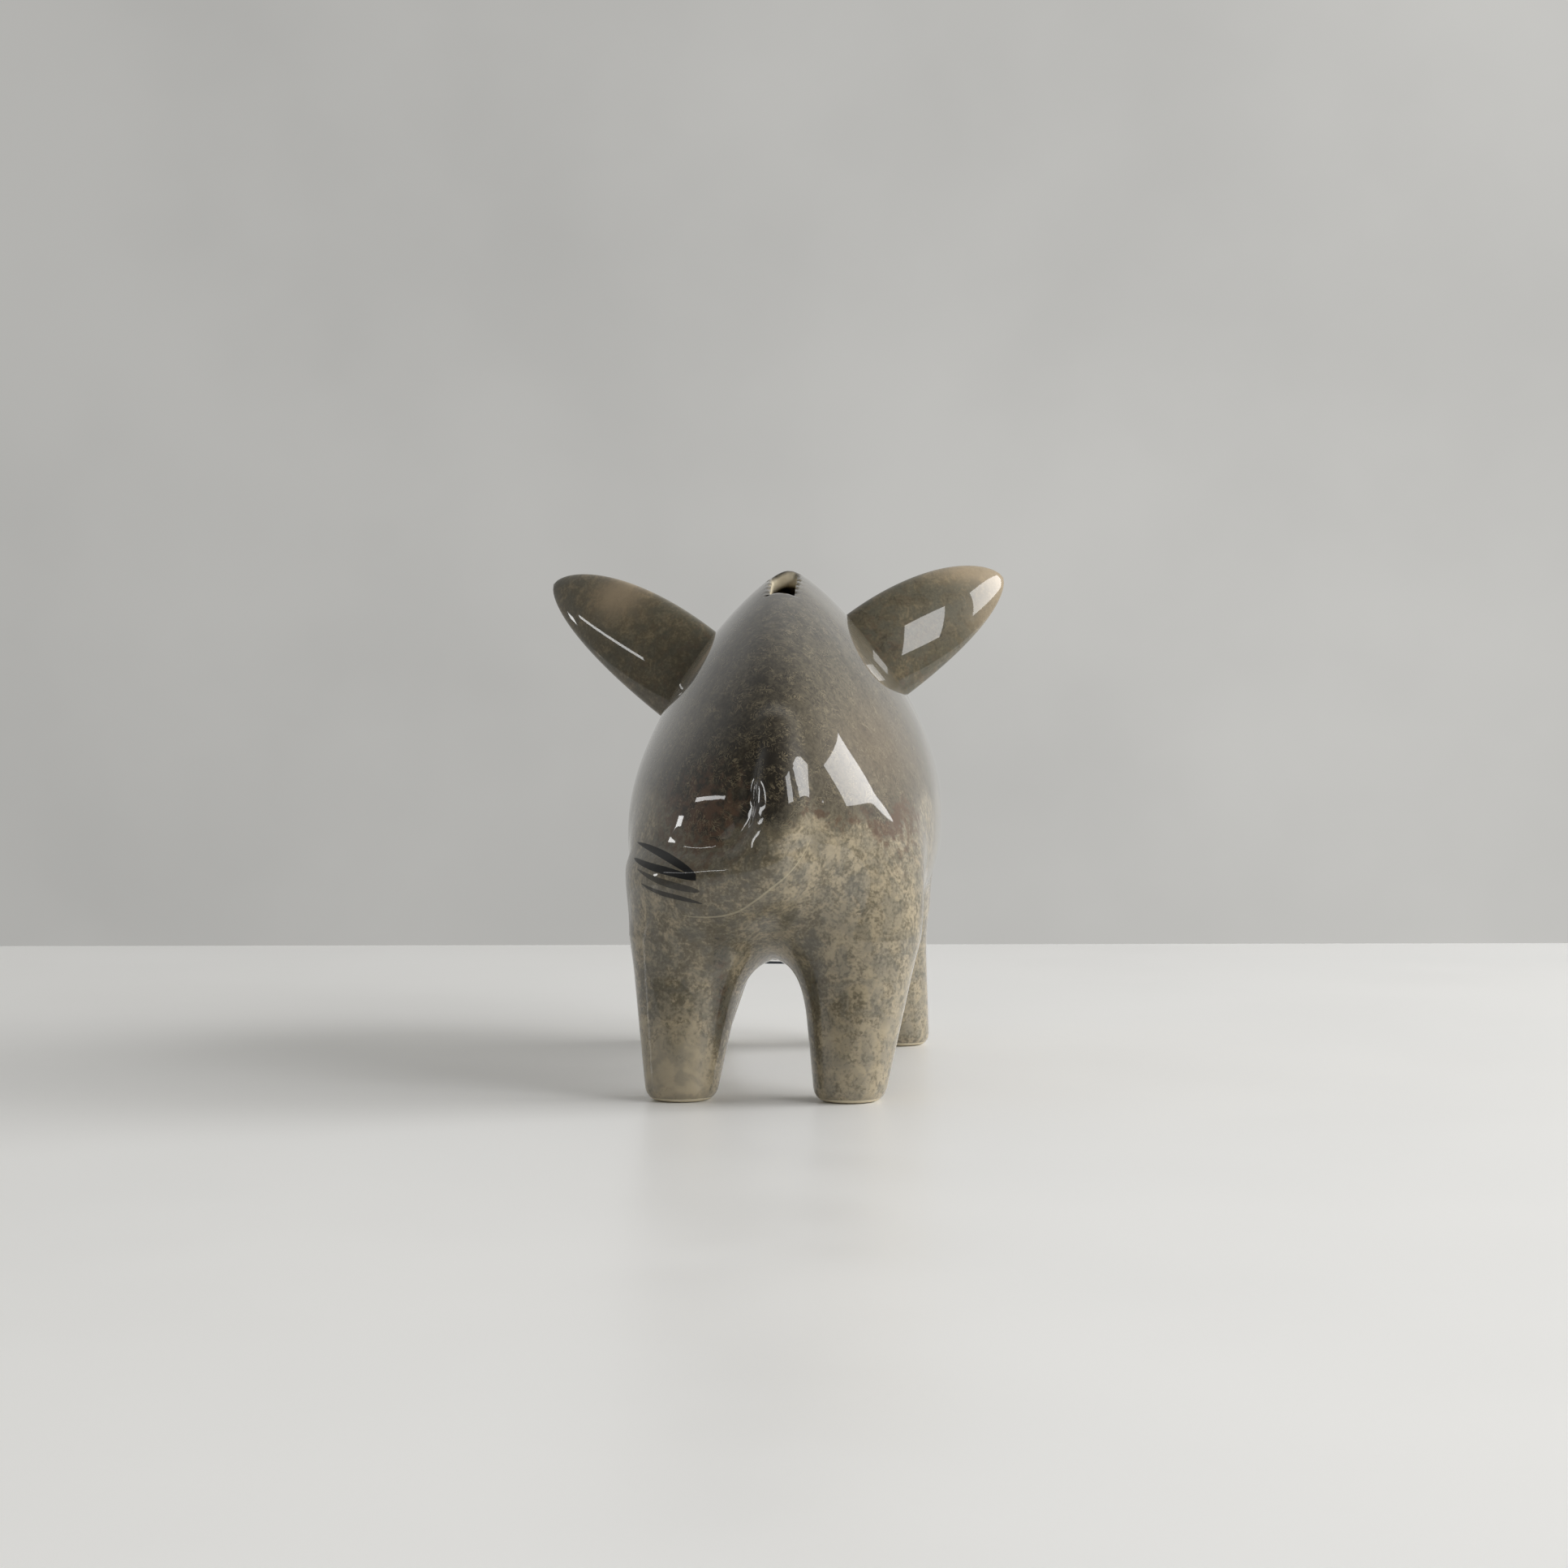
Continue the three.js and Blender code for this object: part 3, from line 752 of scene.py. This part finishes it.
# ---- body -------------------------------------------------------------------------------------
SHADE_SPOTS = [  # strength, darker where it is positive, then the centre and half sizes
    (0.27, (-13, -8, 64), (14, 26, 16)),  # inside the tail's curl
    (0.2, (-22, 4, 52), (12, 22, 7)),
    (0.28, (2.0, -16, 70), (4.5, 14, 13)),  # the tail's upright run
    (0.18, (-2, -14, 55), (6, 14, 5)),
    (0.24, (-6, 30, 98), (20, 70, 26)),  # the back, on the left of the ridge
    (0.10, (-30, 60, 60), (16, 60, 30)),
    (0.06, (28, 20, 70), (10, 30, 20)),
    (-0.3, (-20, 0, 4), (9, 12, 12)),  # the left hind foot
    (-0.16, (-20, 6, 47), (13, 20, 5)),  # the tail's tip
    (-0.22, (20, 0, 12), (9, 14, 22)),  # the right hind leg
    # painted reflection: these two spots darken bands inside the hind legs, where the glaze would
    # mirror the other leg's dark side
    (0.4, (-9.5, -7, 24), (2.2, 12, 17)),  # dark bands inside the hind legs
    (0.35, (10.6, -7, 24), (1.8, 12, 17)),
]
PALE_SPOT = [(0.18, (16, -12, 54), (15, 24, 11))]  # the beige glaze right of the tail
STAIN_AND_REFLECTION_SPOTS = [
    (0.45, (30, 5, 58), (7, 20, 10)),
    (0.7, (-13, -8, 62), (14, 22, 13)),
    # painted reflection: this spot tints the band inside the left hind leg purple-brown
    (0.4, (-9.5, -7, 24), (2.2, 12, 17)),
]
TAN_SPOT = [(0.35, (26, 10, 78), (12, 30, 12))]


def build_body():
    """The casting and the tail laid on it, as one seamless glazed skin."""
    verts, quads = surface(body_field, (-45, -22, -3), (45, 174, 122), CELL["body"])
    body = add_object("glazed_body", verts, quads, [BODY_GLAZE])
    depth = -skin_field(*verts.T)
    x, y, z = verts.T
    bare = smooth_step(depth, 0.5, 1.1)
    # the lower body is paler, below a wavy line that runs round from the tail
    line = 60 + 7 * smooth_step(y, -25, 30) + 2.5 * np.sin(x / 6.0) + 1.5 * np.sin(x / 2.3 + y / 5)
    upper = smooth_step(z - line, -2.5, 2.5)
    rump = smooth_step(40 - y, 0, 40)
    shade = 0.3 + 0.36 * upper - 0.1 * smooth_step(-z, -26, -10) + spots(verts, SHADE_SPOTS)
    shade -= spots(verts, PALE_SPOT) * (1 - upper)
    edge = np.exp(-((z - line) / 2.6) ** 2)
    stain = 0.5 * edge * rump * smooth_step(x, 3, 12)
    # the spots add brown stains and a painted reflection band inside the left hind leg
    stain += spots(verts, STAIN_AND_REFLECTION_SPOTS)
    tan = spots(verts, TAN_SPOT)
    paint_all(body, bare=bare, shade=shade, stain=stain, tan=tan,
              flecks=smooth_step(z - line, -6, 6))
    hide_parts("body_shell", "tail")
    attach(body, "bank")


def build_ear(name, path):
    """One ear, with its own shade and its own thin patches of glaze."""
    rings, along = ear_rings(path)
    verts, faces = ring_surface(rings)
    ear = add_object("glazed_" + name, verts, faces, [EAR_GLAZE])
    tan = spots(verts, EAR_TAN[name])
    shade = EAR_SHADE[name] - 0.26 * tan
    if name == "left_ear":
        shade = shade + 0.35 * smooth_step(along, 0.86, 1.0)  # its tip is darker
    paint_all(ear, shade=shade, tan=tan, stain=0.25 * (1 - along), flecks=0.12)
    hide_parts(name)
    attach(ear, "bank")


def build_snout():
    """The nose pad on the end of the muzzle."""
    verts, quads = surface(snout_field, (-19, 158, 42), (19, 176, 84), CELL["snout"])
    snout = add_object("glazed_snout_disc", verts, quads, [BODY_GLAZE])
    paint_all(snout, shade=0.4, stain=0.3, flecks=0.3)
    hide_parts("snout_disc")
    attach(snout, "bank")


def build_eyes():
    black = eye_material()
    for name, side in (("left_eye", -1), ("right_eye", 1)):
        verts, faces = ring_surface(eye_rings(side))
        eye = add_object("glazed_" + name, verts, faces, [black])
        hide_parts(name)
        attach(eye, "bank")


def build_stopper():
    verts, quads = surface(stopper_field, (-14, 48, 24), (14, 76, 38), CELL["stopper"])
    plug = add_object("rubber_stopper", verts, quads, [rubber_material()])
    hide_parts("belly_stopper")
    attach(plug, "stopper")


build_body()
for ear_name, ear_path in EARS.items():
    build_ear(ear_name, ear_path)
build_snout()
build_eyes()
build_stopper()


# ---- table, light and camera ----------------------------------------------------------------
BODY_MIDDLE = np.array((0.0, 40.0, 60.0))
TABLE = dict(low=(-560.0, -420.0, -24.0), high=(560.0, 464.0, 0.0), turn=5.0, edge=2.0)
CAMERA = dict(place=(47.4, -711.4, 86.8), turn=3.5, dip=1.41, lens=50, sensor=24)
LIGHTS = {  # angles in degrees, distance in millimetres, size in metres
    "window_left": dict(azimuth=53, elevation=25, distance=1600, size=(0.56, 0.54), watts=6.5),
    "window_right": dict(azimuth=101, elevation=25, distance=1600, size=(0.89, 0.54), watts=10),
    "high_strip": dict(azimuth=-70, elevation=16, distance=1600, size=(0.95, 0.05), watts=1.3),
    "doorway": dict(azimuth=-97, elevation=7, distance=1700, size=(0.16, 0.12), watts=0.6),
    "fill": dict(azimuth=85, elevation=25, distance=1700, size=(1.6, 1.0), watts=15,
                 mirrored=False),
}


def build_table():
    """The table top: a slab whose far edge shows as the line behind the animal."""
    sides = list(zip(TABLE["low"], TABLE["high"]))
    verts = [(x, y, z) for x in sides[0] for y in sides[1] for z in sides[2]]
    faces = [(0, 1, 3, 2), (4, 6, 7, 5), (0, 4, 5, 1), (2, 3, 7, 6), (0, 2, 6, 4), (1, 5, 7, 3)]
    n = Nodes("white_table_top")
    tint = n.mix(n.noise(180.0, 2.0), colour(244, 243, 241), colour(238, 238, 237))
    n.link(tint, n.shader.inputs["Base Color"])
    n.link(n.ramp(n.noise(60.0, 3.0), 0.3, 0.7, 0.3, 0.36), n.shader.inputs["Roughness"])
    turn = math.radians(TABLE["turn"])
    verts = np.array(verts) @ np.array([(math.cos(turn), math.sin(turn), 0),
                                        (-math.sin(turn), math.cos(turn), 0), (0, 0, 1)])
    table = add_object("table_top", verts, faces, [n.material], smooth=False)
    edge = table.modifiers.new("edge", "BEVEL")
    edge.width = TABLE["edge"] * MM
    edge.segments = 3


def build_world():
    """A pale room, darker on the left and behind the camera, lighter overhead."""
    world = bpy.data.worlds.new("pale_room")
    bpy.context.scene.world = world
    world.use_nodes = True
    tree = world.node_tree
    tree.nodes.clear()
    output = tree.nodes.new("ShaderNodeOutputWorld")
    background = tree.nodes.new("ShaderNodeBackground")
    tree.links.new(background.outputs[0], output.inputs[0])
    where = tree.nodes.new("ShaderNodeTexCoord")
    split = tree.nodes.new("ShaderNodeSeparateXYZ")
    tree.links.new(where.outputs["Generated"], split.inputs[0])
    cloud = tree.nodes.new("ShaderNodeTexNoise")
    cloud.inputs["Scale"].default_value = 6.0
    cloud.inputs["Detail"].default_value = 5.0
    tree.links.new(where.outputs["Generated"], cloud.inputs["Vector"])

    def ramp(value, low, high, to_low, to_high):
        node = tree.nodes.new("ShaderNodeMapRange")
        node.interpolation_type = "SMOOTHSTEP"
        tree.links.new(value, node.inputs["Value"])
        for name, number in (("From Min", low), ("From Max", high),
                             ("To Min", to_low), ("To Max", to_high)):
            node.inputs[name].default_value = number
        return node.outputs["Result"]

    def times(a, b):
        node = tree.nodes.new("ShaderNodeMath")
        node.operation = "MULTIPLY"
        tree.links.new(a, node.inputs[0])
        tree.links.new(b, node.inputs[1])
        return node.outputs[0]

    level = times(ramp(cloud.outputs["Fac"], 0.3, 0.7, 0.93, 1.05),
                  ramp(split.outputs["X"], -0.3, 0.2, 0.8, 1.02))
    level = times(level, ramp(split.outputs["Z"], 0.35, 0.95, 1.0, 1.5))
    level = times(level, ramp(split.outputs["Y"], -0.5, 0.6, 0.3, 1.0))
    tree.links.new(level, background.inputs["Strength"])
    background.inputs["Color"].default_value = (0.54, 0.535, 0.515, 1)


def window_light(name, azimuth, elevation, distance, size, watts, mirrored=True):
    """A rectangular soft light aimed at the body. Azimuth 0 is behind the animal and 90 is
    on its right; elevation is above the body's middle. `mirrored` lights show in the glaze."""
    light = bpy.data.lights.new(name, "AREA")
    light.shape = "RECTANGLE"
    light.size, light.size_y = size
    light.energy = watts
    holder = bpy.data.objects.new(name, light)
    bpy.context.scene.collection.objects.link(holder)
    turn, rise = math.radians(azimuth), math.radians(elevation)
    away = np.array([math.sin(turn) * math.cos(rise), -math.cos(turn) * math.cos(rise),
                     math.sin(rise)])
    holder.location = Vector(place(BODY_MIDDLE + distance * away))
    holder.rotation_euler = Vector(away).to_track_quat("Z", "Y").to_euler()
    holder.visible_glossy = mirrored


def build_camera():
    """Behind the animal, 0.71 m from the hind feet, a little above the back's middle."""
    camera = bpy.data.cameras.new("camera")
    camera.lens = CAMERA["lens"]
    camera.sensor_width = CAMERA["sensor"]
    camera.clip_start = 0.02
    holder = bpy.data.objects.new("camera", camera)
    bpy.context.scene.collection.objects.link(holder)
    holder.location = Vector(place(CAMERA["place"]))
    turn, dip = math.radians(CAMERA["turn"]), math.radians(CAMERA["dip"])
    holder.rotation_euler = (math.pi / 2 - dip, 0, turn)
    bpy.context.scene.camera = holder


build_table()
build_world()
for light_name, facts in LIGHTS.items():
    window_light(light_name, **facts)
build_camera()
bpy.context.scene.view_settings.view_transform = "Standard"
